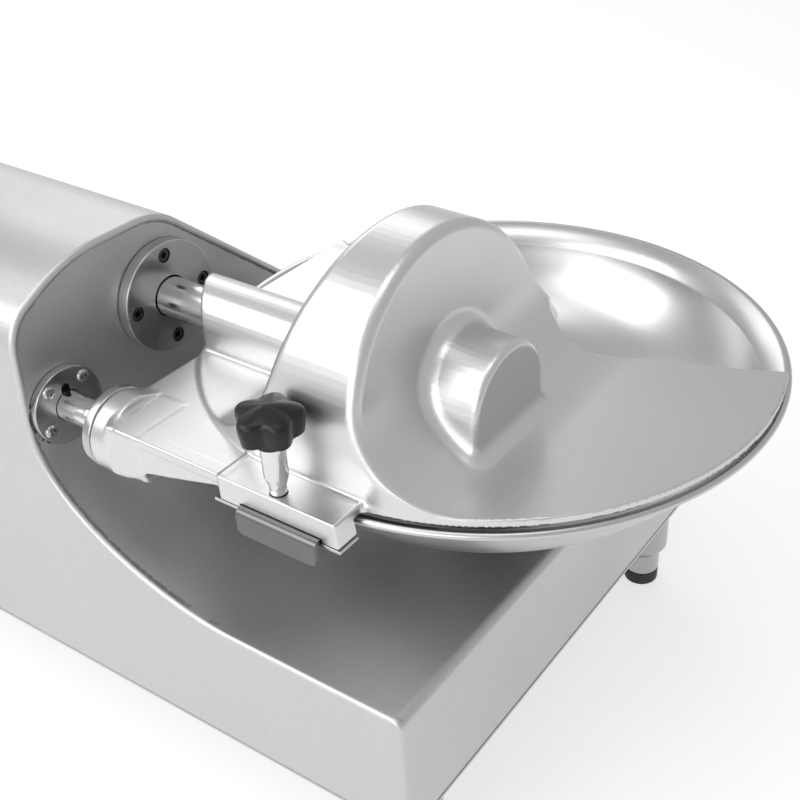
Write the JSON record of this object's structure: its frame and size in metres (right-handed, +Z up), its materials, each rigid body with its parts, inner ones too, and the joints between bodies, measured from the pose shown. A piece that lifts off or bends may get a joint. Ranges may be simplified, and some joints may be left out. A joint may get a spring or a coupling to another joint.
{
  "type": "bench meat bowl cutter with hinged cover, turning bowl and three knives",
  "caption": "Bench meat bowl cutter: cast aluminium housing, turning steel bowl, hinged cover with star knob, three sickle knives on a belt-driven shaft.",
  "frame": {"origin": "middle of the machine's outline on the bench, under the feet", "axes": "+X along the knife shaft from the motor housing to the bowl, -Y towards the operator, +Z up"},
  "size_m": [0.72, 0.43, 0.427],
  "materials": {
    "cast_aluminium": "satin to polished, bare casting",
    "brushed_steel": "fine turned and brushed",
    "polished_steel": "ground and polished stainless steel",
    "grey_iron": "bare, slightly oiled",
    "black_rubber": "matt",
    "black_plastic": "moulded, glossy",
    "motor_paint": "semi-gloss paint",
    "green_plastic": "moulded",
    "red_plastic": "moulded"
  },
  "bodies": {
    "root": {"body_shell": "cast_aluminium", "end_cover": "brushed_steel", "bottom_plate": "brushed_steel", "leg_1": "brushed_steel", "leg_2": "brushed_steel", "leg_3": "brushed_steel", "leg_4": "brushed_steel", "rubber_foot_1": "black_rubber", "rubber_foot_2": "black_rubber", "rubber_foot_3": "black_rubber", "rubber_foot_4": "black_rubber", "shaft_flange": "brushed_steel", "bearing_housing": "grey_iron", "knife_bearing_rear": "polished_steel", "knife_bearing_front": "polished_steel", "shaft_seal": "black_rubber", "spindle_housing": "grey_iron", "spindle_bearing_lower": "polished_steel", "spindle_bearing_upper": "polished_steel", "worm_bracket": "grey_iron", "bulkhead": "brushed_steel", "motor_body": "motor_paint", "knife_belt": "black_rubber", "bowl_belt": "black_rubber", "hinge_flange": "brushed_steel", "hinge_sleeve": "grey_iron", "reed_switch": "black_plastic", "switch_plate": "black_plastic", "cable_gland": "black_plastic"},
    "knife": {"knife_shaft": "polished_steel", "knife_hub": "brushed_steel", "knife_1": "polished_steel", "knife_2": "polished_steel", "knife_3": "polished_steel", "knife_nut": "brushed_steel", "knife_pulley": "grey_iron"},
    "motor": {"motor_shaft": "brushed_steel", "motor_fan": "black_plastic", "motor_pulley": "grey_iron"},
    "worm": {"worm_shaft": "brushed_steel", "worm_pulley": "grey_iron"},
    "bowl": {"bowl": "polished_steel", "bowl_nut": "polished_steel", "bowl_drive_plate": "brushed_steel", "bowl_spindle": "polished_steel", "worm_wheel": "grey_iron"},
    "cover": {"cover": "cast_aluminium", "wiper_keeper": "brushed_steel", "hinge_shaft": "polished_steel", "hinge_pin": "brushed_steel", "hinge_ring": "brushed_steel", "magnet_collar": "grey_iron"},
    "clamp_pad": {"clamp_pad": "brushed_steel"},
    "knob": {"clamp_screw": "polished_steel", "knob": "black_plastic"},
    "rim_wiper": {"rim_wiper": "brushed_steel"},
    "start_button": {"start_button": "green_plastic"},
    "stop_button": {"stop_button": "red_plastic"}
  },
  "joints": [
    {"name": "knife_spin", "type": "hinge", "parent": "root", "child": "knife", "pos_m": [0, -0.078, 0.3185], "axis": [1, 0, 0], "continuous": true},
    {"name": "motor_spin", "type": "hinge", "parent": "root", "child": "motor", "pos_m": [0, 0.055, 0.161], "axis": [1, 0, 0], "continuous": true},
    {"name": "worm_spin", "type": "hinge", "parent": "root", "child": "worm", "pos_m": [0, -0.0366, 0.121], "axis": [1, 0, 0], "continuous": true},
    {"name": "bowl_spin", "type": "hinge", "parent": "root", "child": "bowl", "pos_m": [0.16, 0.015, 0.3], "axis": [0, 0, 1], "continuous": true},
    {"name": "cover_hinge", "type": "hinge", "parent": "root", "child": "cover", "pos_m": [0, -0.175, 0.2815], "axis": [1, 0, 0], "range_deg": [0, 95]},
    {"name": "knob_lift", "type": "slide", "parent": "cover", "child": "clamp_pad", "axis": [0, 0, 1], "range_m": [0, 0.0025]},
    {"name": "knob_turn", "type": "hinge", "parent": "clamp_pad", "child": "knob", "pos_m": [0.15, -0.1945, 0.3], "axis": [0, 0, 1], "range_deg": [0, 720]},
    {"name": "wiper_slide", "type": "slide", "parent": "cover", "child": "rim_wiper", "axis": [0, -1, 0], "range_m": [0, 0.012]},
    {"name": "start_press", "type": "slide", "parent": "root", "child": "start_button", "axis": [0, 1, 0], "range_m": [0, 0.003], "stiffness_N_per_m": 600},
    {"name": "stop_press", "type": "slide", "parent": "root", "child": "stop_button", "axis": [0, 1, 0], "range_m": [0, 0.003], "stiffness_N_per_m": 600}
  ],
  "couplings": [
    {"joint": "motor_spin", "follows": "knife_spin", "ratio": 1},
    {"joint": "worm_spin", "follows": "knife_spin", "ratio": 0.66667},
    {"joint": "bowl_spin", "follows": "knife_spin", "ratio": 0.016667},
    {"joint": "knob_turn", "follows": "knob_lift", "rad_per_m": 5026.5}
  ]
}
